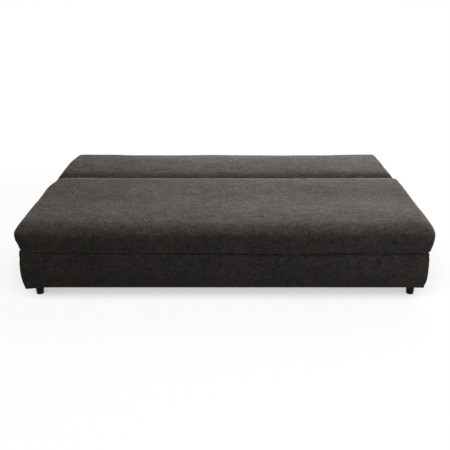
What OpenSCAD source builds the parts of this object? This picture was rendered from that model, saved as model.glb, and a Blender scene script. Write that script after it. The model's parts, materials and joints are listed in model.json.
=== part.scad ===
// Sofa bed laid flat: an upholstered bedding box on short legs, a deep seat panel that lifts
// off it, and a back panel that folds up about the same hinge line. A tube hoop folds down to
// carry the back panel when it lies flat.
// Millimetres, +Z up, the front towards -Y, origin on the floor under the middle of the bed.

/* [Panels] */
// Width of both padded panels at their widest
bed_w = 2000; // [1700:10:2200]
// Depth of the seat panel from its front to the hinge gap
seat_l = 860; // [820:5:920]
// Depth of the back panel from the hinge gap to its rear
back_l = 573; // [540:1:620]
// Gap between the two panels at the hinge line
hinge_gap = 13; // [13:0.5:18]
// Height of the panels' widest level above the bottom seam
wide_up = 77; // [73:1:85]
// Height of the rounded edges above the widest level
edge_h = 58; // [54:1:66]
// Rise of the crown above the rounded edges
crown = 7; // [3:0.5:12]
// Plan radius of the panels' outer corners at the top
corner_r = 92; // [70:1:110]
// Plan radius of the panels' corners at the bottom seam
seam_corner_r = 22; // [15:1:30]
// Radius of the rounding over the panels' outer edges, measured in plan
edge_r = 66; // [50:1:80]
// Reach of the pillow rounding beside the hinge gap
pillow_r = 90; // [80:1:110]
// How far the panels draw in from the widest level to the bottom seam
tuck = 21; // [12:1:26]
// Outward bow of the long edges in plan
bow = 5; // [0:1:10]
// Thickness of cover and wadding round the foam
wadding = 14; // [10:1:18]
// Free space between soft pieces and their neighbours
soft_gap = 0.3; // [0.2:0.1:0.6]

/* [Panel frames] */
// Height of the frame rails
rail_h = 35; // [30:1:38]
// Thickness of the frame rails
rail_t = 22; // [18:1:25]
// Room between the inside of the boards and the inside of the rails, for the lid guides
guide_room = 12; // [11:1:16]
// Width of a bent slat
slat_w = 60; // [40:1:70]
// Thickness of a bent slat
slat_t = 8; // [6:0.5:9]
// Rise of a slat's arch
slat_rise = 7; // [3:0.5:8]
// Number of slats in each panel
slat_count = 13; // [9:2:15]
// Distance of the last slats' middle from the side rails
slat_end = 96; // [60:1:110]

/* [Base box] */
// Height of the visible legs, floor to box
leg_h = 66; // [50:1:90]
// Thickness of the box boards
board_t = 18; // [16:1:22]
// Distance from the panels' outer edge to the outside of the boards
board_in = 34; // [30:1:40]
// Fullest thickness of the padding on the boards
pad_full = 26; // [18:1:28]
// Padding thickness at the bottom edge
pad_foot = 6; // [3:1:10]
// Padding thickness under the seam
pad_seam = 13; // [8:1:16]
// Height above the legs at which the padding is fullest
full_up = 96; // [70:1:120]
// Thickness of the cloth turned over the boards
cloth_t = 2; // [1:0.5:3]
// Thickness of the loose black cloths
dust_t = 1; // [0.8:0.1:1.5]
// Height of the box boards
board_h = 176; // [150:1:190]
// Thickness of the cross rails and the corner plates
cross_t = 19; // [16:1:22]
// Width of a cross rail
cross_w = 60; // [50:1:80]
// Thickness of the storage floor
floor_t = 6; // [4:1:10]
// Side length of a corner plate
corner_plate = 110; // [100:1:140]

/* [Legs] */
// Leg radius at the top
leg_r = 18.5; // [15:0.5:22]
// Leg radius at the floor
leg_foot_r = 16; // [12:0.5:18]
// Distance of a leg's axis from the inside of the side boards
leg_in = 32; // [28:1:40]
// Distance of the front legs' axes from the inside of the front board
leg_front = 56; // [40:1:70]
// Distance of the rear legs' axes from the inside of the rear board
leg_rear = 42; // [36:1:60]
// Distance of the front centre leg from the inside of the front board
centre_front = 230; // [190:5:260]
// Distance of the rear centre leg from the inside of the rear board
centre_rear = 200; // [160:5:230]
// Radius of the leg bolts
bolt_r = 4; // [3:0.5:5]
// Depth of the bolt in the leg
bolt_deep = 34; // [20:1:45]

/* [Hinges] */
// Depth of the hinge axis below the rounded edges' end
axis_down = 25; // [24:0.5:27]
// Width of a hinge
hinge_w = 70; // [64:2:90]
// Distance of the outer hinges from the ends of the box
hinge_in = 156; // [120:2:220]
// Thickness of the panel leaves
leaf_t = 3; // [2.5:0.5:3]
// Thickness of the base bracket
bracket_t = 4; // [3:0.5:4]
// Knuckle radius
knuckle_r = 8; // [7:0.5:8.5]
// Hinge pin radius
pin_r = 4; // [3:0.5:4.5]
// Radial running clearance of the pins
run_gap = 0.08; // [0.05:0.01:0.1]
// Side clearance between knuckles
side_gap = 0.5; // [0.3:0.1:1]
// Length of the base bracket below the box's top edge
bracket_drop = 92; // [70:1:120]

/* [Stays] */
// Thickness of the stay arms and guide plates
stay_t = 3; // [2.5:0.5:4]
// Half the width of a stay arm
stay_r = 9; // [8:0.5:9.5]
// Radius of the stays' sliding pins
slide_r = 4; // [3:0.5:4.5]
// Free space between sliding pin and slot
slot_gap = 0.5; // [0.3:0.1:0.8]
// Width of plate left outside a slot
guide_rim = 9; // [7:0.5:12]
// Highest fold angle of the back panel
back_max = 88; // [80:1:88]
// Highest lift angle of the seat panel
seat_max = 35; // [25:1:35]
// Length of a back stay between its centres
back_stay_l = 148; // [146:1:149]
// Swing of the back stays over the whole fold
back_stay_swing = 24; // [22:1:26]
// Reach of a lid stay's sliding pin below the box's edge when the seat panel is up
lid_pin_down = 51.5; // [42:0.5:56]
// Swing of the lid stays over the whole lift
lid_stay_swing = 83; // [76:1:84]
// Slope of a closed lid stay below the level
lid_stay_slope = 6; // [5:1:7]
// Distance of the back stays from the outer hinges
back_stay_in = 210; // [120:5:300]

/* [Rear hoop] */
// Radius of the hoop tube
tube_r = 12; // [10:0.5:12.5]
// Wall of the hoop tube
tube_wall = 1.5; // [1:0.1:2]
// Bend radius of the hoop corners
bend_r = 60; // [45:1:80]
// Distance of the hoop's pivot from the back panel's rear edge
hoop_in = 149.5; // [120:0.5:180]
// Backward lean of the hoop when it stands
hoop_lean = 7; // [4:1:9]
// Height of the hoop's cross tube above the floor
hoop_low = 20; // [16:1:26]

/* [Hidden] */
$fn = 48;

front_y = -(seat_l + hinge_gap + back_l) / 2;
rear_y = -front_y;
hinge_y = front_y + seat_l + hinge_gap / 2;
half_w = bed_w / 2;
face = hinge_gap / 2;
leaf_out = face - 0.5;

base_top = leg_h + board_h + cloth_t;
rail_z = base_top + soft_gap;
rail_top = rail_z + rail_h;
seam_z = base_top + 1;
wide_z = seam_z + wide_up;
edge_z = wide_z + edge_h;
hinge_z = edge_z - axis_down;

board_x = half_w - board_in;
board_front = front_y + board_in;
rail_in = board_in + board_t + guide_room - rail_t;
board_rear = hinge_y - bracket_t / 2 - dust_t;
board_top = leg_h + board_h;
rail_x = half_w - rail_in;
rail_front = front_y + rail_in;
rail_rear = rear_y - rail_in;
rail_near = leaf_out;

cloth_col = [0.36, 0.34, 0.32];
wood_col = [0.76, 0.62, 0.42];
black_col = [0.08, 0.09, 0.09];
steel_col = [0.55, 0.56, 0.58];
foam_col = [0.86, 0.82, 0.66];
lining_col = [0.14, 0.14, 0.14];

// Screws shared by all fittings
screw_r = 2.5;
screw_head_r = 5;
screw_head_h = 2.4;
screw_l = 18;
screw_gap = 0.1;

hinge_pitch = 2 * (board_x - hinge_in) / 3;
hinge_xs = [for (i = [0:3]) (i - 1.5) * hinge_pitch];
back_stay_x = hinge_xs[3] - back_stay_in;

// Turning a point of the side view, given as [y, z] from the hinge axis
function turned(p, a) = [p.x * cos(a) - p.y * sin(a), p.x * sin(a) + p.y * cos(a)];
function heading(a) = [cos(a), sin(a)];

// Pivots of the stays, from the hinge axis, and the lid stays' length between their centres
lid_pivot_back = 420;
back_pivot_down = 6;
back_pivot = [stay_r, rail_z - hinge_z - stay_r - back_pivot_down];
lid_pivot = [-lid_pivot_back, rail_z + rail_h / 2 - hinge_z];
lid_edge = board_top - 1 - hinge_z;
lid_stay_l = turned(lid_pivot, -seat_max).y - lid_edge + lid_pin_down;
path_steps = 24;
function back_slide(a) =
    turned(back_pivot, a) + back_stay_l * heading(-90 - back_stay_swing * a / back_max);
function lid_slide(a) =
    turned(lid_pivot, -a) + lid_stay_l * heading(-lid_stay_slope - lid_stay_swing * a / seat_max);
back_path = [for (i = [0:path_steps]) back_slide(back_max * i / path_steps)];
lid_path = [for (i = [0:path_steps]) lid_slide(seat_max * i / path_steps)];

// A path's direction at point i, and the path moved sideways by d to its left
function course(path, i) =
    let (a = path[max(i - 1, 0)], b = path[min(i + 1, len(path) - 1)]) (b - a) / norm(b - a);
function beside(path, d) =
    [for (i = [0:len(path) - 1]) path[i] + d * [-course(path, i).y, course(path, i).x]];
// A path made longer at both ends by e
function longer(path, e) =
    let (n = len(path) - 1)
    concat([path[0] - e * course(path, 0)], path, [path[n] + e * course(path, n)]);
function backwards(list) = [for (i = [len(list) - 1:-1:0]) list[i]];

module block(x0, x1, y0, y1, z0, z1) {
    translate([x0, y0, z0]) cube([x1 - x0, y1 - y0, z1 - z0]);
}

// A cylinder along X from x0 to x1 round the point y, z
module rod_x(x0, x1, y, z, r) {
    translate([x0, y, z]) rotate([0, 90, 0]) cylinder(r = r, h = x1 - x0);
}

module on_side(s) {
    mirror([s < 0 ? 1 : 0, 0, 0]) children();
}

// A countersunk screw whose head is flush with the origin and whose shank runs along -Z
module screw(grip = screw_l, grow = 0) {
    translate([0, 0, -screw_head_h]) cylinder(r1 = screw_r + grow, r2 = screw_head_r + grow,
        h = screw_head_h);
    translate([0, 0, -grip - grow]) cylinder(r = screw_r + grow, h = grip + grow);
}

/* Padded panels */

corner_steps = 5;
edge_steps = 6;
function quarter(x, y, r, a, n) =
    [for (i = [0:n]) [x + r * cos(a + 90 * i / n), y + r * sin(a + 90 * i / n)]];
function spread(p, q, n) = [for (i = [1:n]) p + (q - p) * i / (n + 1)];
// Outline of a panel: half width, front and rear edge, corner radii in front and behind
function outline(hx, y0, y1, r0, r1, n, m) =
    let (a = quarter(hx - r1, y1 - r1, r1, 0, n),
         b = quarter(-hx + r1, y1 - r1, r1, 90, n),
         c = quarter(-hx + r0, y0 + r0, r0, 180, n),
         d = quarter(hx - r0, y0 + r0, r0, 270, n))
    concat(a, spread(a[n], b[0], m), b, spread(b[n], c[0], 2),
           c, spread(c[n], d[0], m), d, spread(d[n], a[0], 2));
// The outline with its ends and its free long edge bowed outwards
function bowed(points, hx, y0, y1, b0, b1) =
    let (ym = (y0 + y1) / 2, hy = (y1 - y0) / 2)
    [for (p = points)
        let (u = p.x / hx, v = (p.y - ym) / hy, out = 1 - min(1, u * u), off = 1 - min(1, v * v))
        [p.x + bow * off * u, p.y + out * (v < 0 ? b0 * v : b1 * v)]];

// Levels of a panel from seam to crown: [height, inset of free edges, inset at the hinge gap,
// share of the way from seam corner radius to top corner radius]
function low_levels(z0, n) =
    [for (i = [0:n - 1]) let (t = 1 - i / n) [wide_z - t * (wide_z - z0), tuck * pow(t, 1.5), 0, 1 - t]];
function edge_levels(w, n) =
    [for (i = [0:n]) let (a = 90 * i / n)
        [wide_z + (edge_h - w) * sin(a), (edge_r - w) * (1 - cos(a)), (pillow_r - w) * (1 - cos(a)), 1]];
function crown_levels(w, reach, n) =
    [for (i = [1:n]) let (t = i / n)
        [edge_z - w + crown * (1 - (1 - t) * (1 - t)), edge_r - w + reach * t, pillow_r - w + reach * t, 1]];

// A lofted panel. Free edge at free_y, hinge edge at gap_y, w is the inset all round.
module panel(free_y, gap_y, z0, w, n, m, levels) {
    dir = sign(gap_y - free_y);
    deep = abs(gap_y - free_y) / 2;
    reach = deep - pillow_r - 12;
    rows = concat(low_levels(z0, max(1, n - 1)), edge_levels(w, n + 1),
                  crown_levels(w, reach, levels));
    rings = [for (row = rows)
        let (hx = half_w - bow - w - row[1],
             free = free_y + dir * (w + bow + row[1]),
             gap = gap_y - dir * (w + row[2]),
             past = max(row[1] - (edge_r - w), 0),
             r = max(seam_corner_r + (corner_r - seam_corner_r) * row[3] - w - past / 2, 6),
             y0 = min(free, gap),
             y1 = max(free, gap))
        [for (p = bowed(outline(hx, y0, y1, r, r, n, m), hx, y0, y1,
                        dir > 0 ? bow : 0, dir > 0 ? 0 : bow)) [p.x, p.y, row[0]]]];
    count = len(rings[0]);
    last = len(rings) - 1;
    points = [for (ring = rings) each ring];
    sides = [for (k = [0:last - 1]) for (i = [0:count - 1])
        let (j = (i + 1) % count, a = k * count + i, b = k * count + j)
        each [[a, a + count, b], [b, a + count, b + count]]];
    polyhedron(points, concat([[for (i = [0:count - 1]) i]], sides,
        [[for (i = [count - 1:-1:0]) last * count + i]]));
}

module panel_cover(free_y, gap_y) {
    dir = sign(gap_y - free_y);
    far = free_y + dir * rail_in;
    y0 = min(far - dir * soft_gap, gap_y + dir * 20);
    y1 = max(far - dir * soft_gap, gap_y + dir * 20);
    difference() {
        panel(free_y, gap_y, seam_z, 0, corner_steps, 7, 3);
        panel(free_y, gap_y, rail_top - 1, wadding, 3, 1, 1);
        block(-rail_x - soft_gap, rail_x + soft_gap, y0, y1, seam_z - 5, rail_top + soft_gap);
    }
}

module panel_core(free_y, gap_y) {
    panel(free_y, gap_y, rail_top + soft_gap, wadding + 2 * soft_gap, 3, 1, 1);
}

/* Slats and their holders, laid between the rails at y0 and y1 */

slat_pitch = 2 * (rail_x - rail_t - slat_end) / (slat_count - 1);
slat_xs = [for (i = [0:slat_count - 1]) (i - (slat_count - 1) / 2) * slat_pitch];
holder_deep = 22;
holder_wall = 4;
grip = 16;
slat_z = rail_top - slat_t - slat_rise - 1.5;

module slat(y0, y1) {
    a = y0 + holder_deep - grip;
    b = y1 - holder_deep + grip;
    steps = 12;
    arch = [for (i = [0:steps]) let (t = i / steps) [a + (b - a) * t, slat_rise * 4 * t * (1 - t)]];
    translate([-slat_w / 2, 0, slat_z]) rotate([90, 0, 90]) linear_extrude(slat_w)
        polygon(concat(arch, [for (p = backwards(arch)) p + [0, slat_t]]));
}

module slats(y0, y1) {
    color(wood_col) for (x = slat_xs) translate([x, 0, 0]) slat(y0, y1);
}

module slat_holders(y0, y1) {
    color(black_col) for (x = slat_xs) for (e = [[y0, 1], [y1, -1]])
        translate([x, e[0], 0]) mirror([0, e[1] > 0 ? 0 : 1, 0]) difference() {
            block(-slat_w / 2 - holder_wall, slat_w / 2 + holder_wall, 0, holder_deep,
                slat_z - holder_wall, slat_z + slat_t + holder_wall + 1);
            block(-slat_w / 2 - 0.4, slat_w / 2 + 0.4, holder_deep - grip - 0.4, holder_deep + 1,
                slat_z - 0.3, slat_z + slat_t + 1.4);
        }
}

/* Hinges, drawn round the axis at the origin */

knuckle_in = 11;
knuckle_out = 23.5;
knuckle_base = [[-knuckle_in, knuckle_in]];
knuckle_back = [[-knuckle_out, -knuckle_in - side_gap], [knuckle_in + side_gap, knuckle_out]];
knuckle_seat = [[-hinge_w / 2, -knuckle_out - side_gap], [knuckle_out + side_gap, hinge_w / 2]];
leaf_screw_z = rail_z + rail_h / 2 - hinge_z;
hinge_screw_x = 22;
leaf_screws = [-hinge_screw_x, hinge_screw_x];
bracket_screw_top = 24;
bracket_screw_low = 76;
bracket_screws = [for (x = leaf_screws) for (down = [bracket_screw_top, bracket_screw_low])
    [x, board_top - down - hinge_z]];

// One leaf between the faces ya and yb, its lower edge at low, with knuckles over the spans
module leaf(ya, yb, low, spans) {
    difference() {
        union() {
            block(-hinge_w / 2, hinge_w / 2, ya, yb, low, -knuckle_r - 1);
            for (s = spans) {
                block(s[0], s[1], ya, yb, -knuckle_r - 2, 0);
                rod_x(s[0], s[1], 0, 0, knuckle_r);
            }
        }
        rod_x(-hinge_w, hinge_w, 0, 0, pin_r + run_gap);
    }
}

module at_hinges() {
    for (x = hinge_xs) translate([x, hinge_y, hinge_z]) children();
}

module panel_leaves(dir) {
    color(steel_col) at_hinges() difference() {
        mirror([0, dir > 0 ? 0 : 1, 0])
            leaf(leaf_out - leaf_t, leaf_out, rail_z - hinge_z + 1.5, dir > 0 ? knuckle_back : knuckle_seat);
        panel_leaf_screws(dir, screw_gap);
    }
}

// Screws through the panel leaves into the rails, dir 1 for the back and -1 for the seat
module panel_leaf_screws(dir, grow = 0) {
    for (x = leaf_screws) translate([x, dir * (leaf_out - leaf_t), leaf_screw_z])
        rotate([dir * 90, 0, 0]) screw(screw_l, grow);
}

module bracket_screw_set(grow = 0) {
    for (p = bracket_screws) translate([p.x, bracket_t / 2, p.y])
        rotate([-90, 0, 0]) screw(screw_l, grow);
}

/* Base box */

module base_front_board() {
    color(wood_col) block(-board_x, board_x, board_front, board_front + board_t, leg_h, board_top);
}

module base_rear_board() {
    color(wood_col) difference() {
        block(-board_x, board_x, board_rear - board_t, board_rear, leg_h, board_top);
        at_hinges() bracket_screw_set(screw_gap);
        back_guide_screws(screw_gap);
    }
}

module side_board(s) {
    color(wood_col) on_side(s) difference() {
        block(board_x - board_t, board_x, board_front + board_t, board_rear - board_t,
            leg_h, board_top);
        lid_guide_screws(screw_gap);
    }
}

inside_x = board_x - board_t;
inside_front = board_front + board_t;
inside_rear = board_rear - board_t;
leg_x = inside_x - leg_in;
leg_ys = [inside_front + leg_front, inside_rear - leg_rear];
centre_ys = [inside_front + centre_front, inside_rear - centre_rear];

// A plate with one corner cut away, its square corner at the box corner x, y
module corner_piece(y, dir) {
    translate([inside_x, y, leg_h]) mirror([0, dir > 0 ? 0 : 1, 0]) linear_extrude(cross_t)
        polygon([[0, 0], [0, corner_plate], [-corner_plate * 0.45, corner_plate],
                 [-corner_plate, corner_plate * 0.45], [-corner_plate, 0]]);
}

module leg_bores(r) {
    for (s = [-1, 1]) for (y = leg_ys) translate([s * leg_x, y, leg_h - bolt_deep])
        cylinder(r = r, h = bolt_deep + cross_t);
    for (y = centre_ys) translate([0, y, leg_h - bolt_deep]) cylinder(r = r, h = bolt_deep + cross_t);
}

module corner_plates() {
    color(wood_col) difference() {
        for (s = [-1, 1]) on_side(s) {
            corner_piece(inside_front, 1);
            corner_piece(inside_rear, -1);
        }
        leg_bores(bolt_r + screw_gap);
    }
}

module cross_rails() {
    color(wood_col) difference() {
        for (x = [-0.5, 0, 0.5]) translate([x * inside_x, 0, 0])
            block(-cross_w / 2, cross_w / 2, inside_front, inside_rear, leg_h, leg_h + cross_t);
        leg_bores(bolt_r + screw_gap);
    }
}

module storage_floor() {
    color(lining_col) block(-inside_x, inside_x, inside_front, inside_rear,
        leg_h + cross_t, leg_h + cross_t + floor_t);
}

// Padding thickness on the boards at the height z
full_z = leg_h + full_up;
function padding(z) = z < full_z
    ? pad_full - (pad_full - pad_foot) * pow((full_z - z) / (full_z - leg_h), 2.6)
    : pad_full - (pad_full - pad_seam) * pow((z - full_z) / (base_top - full_z), 2);
pad_heights = [for (i = [0:18]) leg_h + (base_top - leg_h) * i / 18];

// Padding in section, the board's outside at x = 0 and the box's inside towards -x
module padding_section(inward) {
    polygon(concat([[0, leg_h]], [for (z = pad_heights) [padding(z), z]],
        [[-inward, base_top], [-inward, board_top], [0, board_top]]));
}

module base_cover_front() {
    color(cloth_col) union() {
        translate([-board_x, board_front, 0]) rotate([90, 0, 90]) linear_extrude(2 * board_x)
            mirror([1, 0, 0]) padding_section(board_t);
        for (s = [-1, 1]) on_side(s) translate([board_x, board_front, 0])
            rotate([0, 0, -90]) rotate_extrude(angle = 90, $fn = 64)
                polygon(concat([[0, leg_h]], [for (z = pad_heights) [padding(z), z]], [[0, base_top]]));
    }
}

module base_cover_side(s) {
    color(cloth_col) on_side(s) difference() {
        translate([board_x, board_rear, 0]) rotate([90, 0, 0]) linear_extrude(board_rear - board_front)
            padding_section(board_t);
        block(0, board_x, board_front - 1, board_front + board_t, board_top - 1, base_top + 1);
    }
}

module base_rear_cloth() {
    color(lining_col) difference() {
        block(-board_x, board_x, board_rear, board_rear + dust_t, leg_h, board_top);
        at_hinges() bracket_screw_set(screw_gap);
        back_guide_screws(screw_gap);
    }
}

module leg(x, y) {
    color(black_col) translate([x, y, 0]) difference() {
        union() {
            cylinder(r = leg_foot_r - 1.5, h = 1.5);
            translate([0, 0, 1.5]) cylinder(r1 = leg_foot_r, r2 = leg_r, h = leg_h - 1.5);
        }
        translate([0, 0, leg_h - bolt_deep]) cylinder(r = bolt_r + screw_gap, h = bolt_deep + 1);
    }
}

module legs_centre() {
    for (y = centre_ys) leg(0, y);
}

module leg_bolts() {
    color(steel_col) leg_bores(bolt_r);
}

module hinge_brackets() {
    color(steel_col) at_hinges() difference() {
        leaf(-bracket_t / 2, bracket_t / 2, board_top - bracket_drop - hinge_z, knuckle_base);
        bracket_screw_set(screw_gap);
    }
}

module hinge_pins() {
    color(steel_col) at_hinges() {
        rod_x(-hinge_w / 2 - 1, hinge_w / 2 + 1, 0, 0, pin_r);
        for (x = [-hinge_w / 2 - 2.6, hinge_w / 2 + 0.6]) rod_x(x, x + 2, 0, 0, pin_r + 2);
    }
}

/* Guide plates with curved slots, drawn in the side view from the hinge axis */

// The slot that a sliding pin follows, as a solid of thickness t. Its sides lie a little inside
// its round ends, so that they meet at an angle and leave no sliver.
slot_ease = 0.05;
module slot(path, t) {
    r = slide_r + slot_gap;
    side = r - slot_ease;
    linear_extrude(t) polygon(concat(beside(path, side), backwards(beside(path, -side))));
    for (p = [path[0], path[len(path) - 1]]) translate([p.x, p.y, 0]) cylinder(r = r, h = t);
}

// Turns a drawing in the plane of y and z, and its thickness, to the place x
module side_view(x) {
    translate([x, hinge_y, hinge_z]) rotate([90, 0, 90]) children();
}

rim = slide_r + slot_gap + guide_rim;
// Heads of the pivots and sliding pins, and the play beside the plates
head_t = 2.5;
head_more = 2.5;
side_play = 1.5;
back_edge = -bracket_t / 2;
flange_w = 26;
flange_top = 160;
flange_low = 235;

module back_guide(s) {
    outer = [for (p = beside(longer(back_path, rim), -rim)) if (p.x > back_edge + 0.5) p];
    n = len(outer) - 1;
    color(steel_col) on_side(s) difference() {
        union() {
            side_view(back_stay_x - stay_t / 2) linear_extrude(stay_t)
                polygon(concat([[back_edge, outer[0].y]], outer, [[back_edge, outer[n].y]]));
            block(back_stay_x - stay_t / 2 - flange_w, back_stay_x, hinge_y + back_edge,
                hinge_y + back_edge + stay_t, hinge_z + outer[0].y, hinge_z + outer[n].y);
        }
        side_view(back_stay_x - stay_t) slot(back_path, 2 * stay_t);
        back_guide_screws_one(screw_gap);
    }
}

module back_guide_screws_one(grow) {
    for (down = [flange_top, flange_low])
        translate([back_stay_x - stay_t / 2 - flange_w / 2, hinge_y + back_edge + stay_t, hinge_z - down])
            rotate([-90, 0, 0]) screw(screw_l, grow);
}

module back_guide_screws(grow = 0) {
    for (s = [-1, 1]) on_side(s) back_guide_screws_one(grow);
}

// The lid stays lie against the inside of the rails and the guides just outside the stays
lid_arm_x = rail_x - rail_t - side_play - stay_t;
lid_guide_x = lid_arm_x + stay_t + side_play;
lid_guide_off = inside_x - lid_guide_x - stay_t;
lid_first = lid_path[0];
lid_last = lid_path[path_steps];
spacer_r = 7;
lid_bolt_out = 50;
lid_bolt_down = 11;
lid_bolt_short = 5;
lid_bolt_y0 = lid_first.x - lid_bolt_out;
lid_bolt_y1 = lid_last.x + lid_bolt_out;
lid_bolts = [for (y = [lid_bolt_y0, (lid_bolt_y0 + lid_bolt_y1) / 2, lid_bolt_y1])
    [y, lid_edge - lid_bolt_down]];

module lid_guide(s) {
    outer = beside(longer(lid_path, rim), rim);
    n = len(outer) - 1;
    color(steel_col) on_side(s) difference() {
        union() {
            side_view(lid_guide_x) linear_extrude(stay_t)
                polygon(concat([[outer[0].x, lid_edge]], outer, [[outer[n].x, lid_edge]]));
            for (p = lid_bolts) side_view(lid_guide_x) translate([p.x, p.y, stay_t / 2])
                cylinder(r = spacer_r, h = lid_guide_off + stay_t / 2);
        }
        side_view(lid_guide_x - 1) slot(lid_path, stay_t + 2);
        lid_guide_screws(screw_gap);
    }
}

module lid_guide_screws(grow = 0) {
    for (p = lid_bolts) side_view(lid_guide_x) translate([p.x, p.y, 0]) mirror([0, 0, 1])
        screw(stay_t + lid_guide_off + board_t - lid_bolt_short, grow);
}

module base_screws() {
    color(steel_col) {
        at_hinges() bracket_screw_set();
        back_guide_screws();
        for (s = [-1, 1]) on_side(s) lid_guide_screws();
    }
}

/* Seat panel */

seat_gap_y = hinge_y - face;
seat_near = hinge_y - rail_near;

module seat_rail_front() {
    color(wood_col) block(-rail_x, rail_x, rail_front, rail_front + rail_t, rail_z, rail_top);
}

module seat_rail_rear() {
    color(wood_col) difference() {
        block(-rail_x, rail_x, seat_near - rail_t, seat_near, rail_z, rail_top);
        at_hinges() panel_leaf_screws(-1, screw_gap);
    }
}

module seat_rail_side(s) {
    color(wood_col) on_side(s) difference() {
        block(rail_x - rail_t, rail_x, rail_front + rail_t, seat_near - rail_t, rail_z, rail_top);
        lid_pivot_bolt(screw_gap);
    }
}

// Bolt on which a lid stay turns, with a collar against the rail and a head inside the stay
module lid_pivot_bolt(grow = 0) {
    start = lid_arm_x - side_gap - head_t;
    side_view(0) translate([lid_pivot.x, lid_pivot.y, 0]) {
        translate([0, 0, start]) cylinder(r = slide_r + grow, h = rail_x - 6 - start);
        translate([0, 0, start]) cylinder(r = slide_r + head_more, h = head_t);
        translate([0, 0, lid_arm_x + stay_t + side_gap])
            cylinder(r = slide_r + head_more, h = side_play - side_gap);
    }
}

module lid_stay_pivots() {
    color(steel_col) for (s = [-1, 1]) on_side(s) lid_pivot_bolt();
}

module seat_slats() {
    slats(rail_front + rail_t, seat_near - rail_t);
}

module seat_slat_holders() {
    slat_holders(rail_front + rail_t, seat_near - rail_t);
}

module seat_core() {
    color(foam_col) panel_core(front_y, seat_gap_y);
}

module seat_cover() {
    color(cloth_col) panel_cover(front_y, seat_gap_y);
}

module seat_hinge_leaves() {
    panel_leaves(-1);
}

module seat_screws() {
    color(steel_col) at_hinges() panel_leaf_screws(-1);
}

/* Back panel */

back_gap_y = hinge_y + face;
back_near = hinge_y + rail_near;

module back_rail_front() {
    color(wood_col) difference() {
        block(-rail_x, rail_x, back_near, back_near + rail_t, rail_z, rail_top);
        at_hinges() panel_leaf_screws(1, screw_gap);
        back_bracket_screws(screw_gap);
    }
}

module back_rail_rear() {
    color(wood_col) block(-rail_x, rail_x, rail_rear - rail_t, rail_rear, rail_z, rail_top);
}

module back_rail_side(s) {
    color(wood_col) on_side(s) difference() {
        block(rail_x - rail_t, rail_x, back_near + rail_t, rail_rear - rail_t, rail_z, rail_top);
        hoop_bracket_screws(screw_gap);
    }
}

module back_slats() {
    slats(back_near + rail_t, rail_rear - rail_t);
}

module back_slat_holders() {
    slat_holders(back_near + rail_t, rail_rear - rail_t);
}

module back_core() {
    color(foam_col) panel_core(rear_y, back_gap_y);
}

module back_cover() {
    color(cloth_col) panel_cover(rear_y, back_gap_y);
}

module back_hinge_leaves() {
    panel_leaves(1);
}

cloth_low = rail_z - dust_t;

module back_cloth() {
    color(lining_col) difference() {
        block(-rail_x + 4, rail_x - 4, back_near + 4, rail_rear - 4, cloth_low, rail_z);
        back_bracket_screws(screw_gap);
        hoop_bracket_screws(screw_gap);
    }
}

// Bracket under the back panel's front rail that carries a back stay
arm_x = back_stay_x + stay_t / 2 + side_play + head_t + side_gap;
web_x = arm_x + stay_t + 1;
foot_w = 30;
foot_screw_in = 11;
foot_screw_out = 23;

module back_stay_bracket() {
    y = hinge_y + back_pivot.x;
    z = hinge_z + back_pivot.y;
    difference() {
        union() {
            rod_x(web_x, web_x + stay_t, y, z, stay_r);
            block(web_x, web_x + stay_t, y - stay_r, y + stay_r, z, cloth_low);
            block(web_x, web_x + foot_w, back_near, back_near + rail_t, cloth_low - stay_t, cloth_low);
        }
        back_bracket_screw_set(screw_gap);
    }
    rod_x(arm_x - 1, web_x + 1, y, z, slide_r);
    rod_x(arm_x - side_gap - head_t, arm_x - side_gap, y, z, slide_r + head_more);
}

module back_bracket_screw_set(grow) {
    for (x = [foot_screw_in, foot_screw_out])
        translate([web_x + x, back_near + rail_t / 2, cloth_low - stay_t])
            mirror([0, 0, 1]) screw(screw_l, grow);
}

module back_bracket_screws(grow = 0) {
    for (s = [-1, 1]) on_side(s) back_bracket_screw_set(grow);
}

module back_stay_brackets() {
    color(steel_col) for (s = [-1, 1]) on_side(s) back_stay_bracket();
}

// Clevis under a side rail for the hoop's pivot
hoop_y = rear_y - hoop_in;
hoop_x = rail_x - rail_t / 2;
lug_t = 3;
lug_r = 14;
lug_gap = 0.8;
hoop_plate = 26;
hoop_screw = 19;
eye_more = 0.6;
eye_gap = 0.7;
hoop_z = cloth_low - lug_t - tube_r - eye_more - eye_gap;

module hoop_bracket() {
    difference() {
        union() {
            block(hoop_x - tube_r - lug_gap - lug_t, hoop_x + tube_r + lug_gap + lug_t,
                hoop_y - hoop_plate, hoop_y + hoop_plate, cloth_low - lug_t, cloth_low);
            for (x = [hoop_x - tube_r - lug_gap - lug_t, hoop_x + tube_r + lug_gap]) {
                block(x, x + lug_t, hoop_y - lug_r, hoop_y + lug_r, hoop_z, cloth_low - 1);
                rod_x(x, x + lug_t, hoop_y, hoop_z, lug_r);
            }
        }
        hoop_bracket_screw_set(screw_gap);
    }
    rod_x(hoop_x - tube_r - lug_gap - lug_t - 2, hoop_x + tube_r + lug_gap + lug_t + 2,
        hoop_y, hoop_z, pin_r);
}

module hoop_bracket_screw_set(grow) {
    for (y = [hoop_y - hoop_screw, hoop_y + hoop_screw]) translate([hoop_x, y, cloth_low - lug_t])
        mirror([0, 0, 1]) screw(screw_l, grow);
}

module hoop_bracket_screws(grow = 0) {
    for (s = [-1, 1]) on_side(s) hoop_bracket_screw_set(grow);
}

module hoop_brackets() {
    color(steel_col) for (s = [-1, 1]) on_side(s) hoop_bracket();
}

module back_screws() {
    color(steel_col) {
        at_hinges() panel_leaf_screws(1);
        back_bracket_screws();
        hoop_bracket_screws();
    }
}

/* Rear hoop */

hoop_l = (hoop_z - hoop_low) / cos(hoop_lean);

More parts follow.
